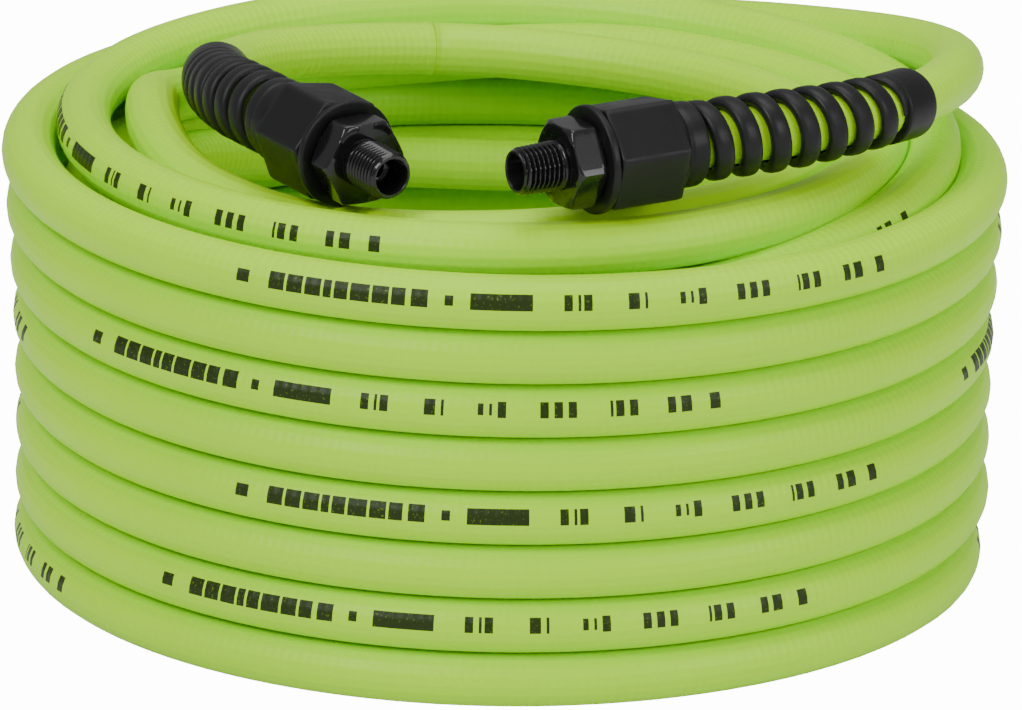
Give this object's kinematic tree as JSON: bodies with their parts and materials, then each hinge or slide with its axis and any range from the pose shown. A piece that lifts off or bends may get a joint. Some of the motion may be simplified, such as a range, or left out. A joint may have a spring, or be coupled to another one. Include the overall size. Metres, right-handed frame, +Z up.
{
  "type": "coiled_air_hose",
  "caption": "Coiled lime-green air hose with a pipe-thread fitting and a moulded black bend restrictor on each end",
  "frame": {"origin": "centre of the bounding box at the floor, on the coil axis", "axes": "+X to the right seen from the front, +Y to the back, +Z up along the coil axis"},
  "size_m": [0.2788, 0.2789, 0.1623],
  "materials": {
    "hose_cover": "satin",
    "moulded_black": "satin",
    "fitting_metal": "gloss",
    "ferrule_metal": "satin",
    "braid": "woven",
    "liner": "smooth"
  },
  "bodies": {
    "coil": {"hose_coil": "hose_cover", "hose_top_run": "hose_cover", "hose_loop_a": "hose_cover", "hose_tail_b": "hose_cover"},
    "end_a": {"fitting_a": "fitting_metal", "ferrule_a": "ferrule_metal", "bend_restrictor_a": "moulded_black", "hose_cover_a": "hose_cover", "hose_braid_a": "braid", "hose_liner_a": "liner"},
    "end_b": {"fitting_b": "fitting_metal", "ferrule_b": "ferrule_metal", "bend_restrictor_b": "moulded_black", "hose_cover_b": "hose_cover", "hose_braid_b": "braid", "hose_liner_b": "liner"}
  },
  "joints": [
    {"name": "end_a_lift", "type": "hinge", "parent": "coil", "child": "end_a", "pos_m": [0.124, 0.0021, 0.1403], "axis": [-1, 0, 0], "range_deg": [0, 20]},
    {"name": "end_b_lift", "type": "hinge", "parent": "coil", "child": "end_b", "pos_m": [-0.0798, 0.0206, 0.1324], "axis": [-1, 0, 0], "range_deg": [0, 20]}
  ]
}
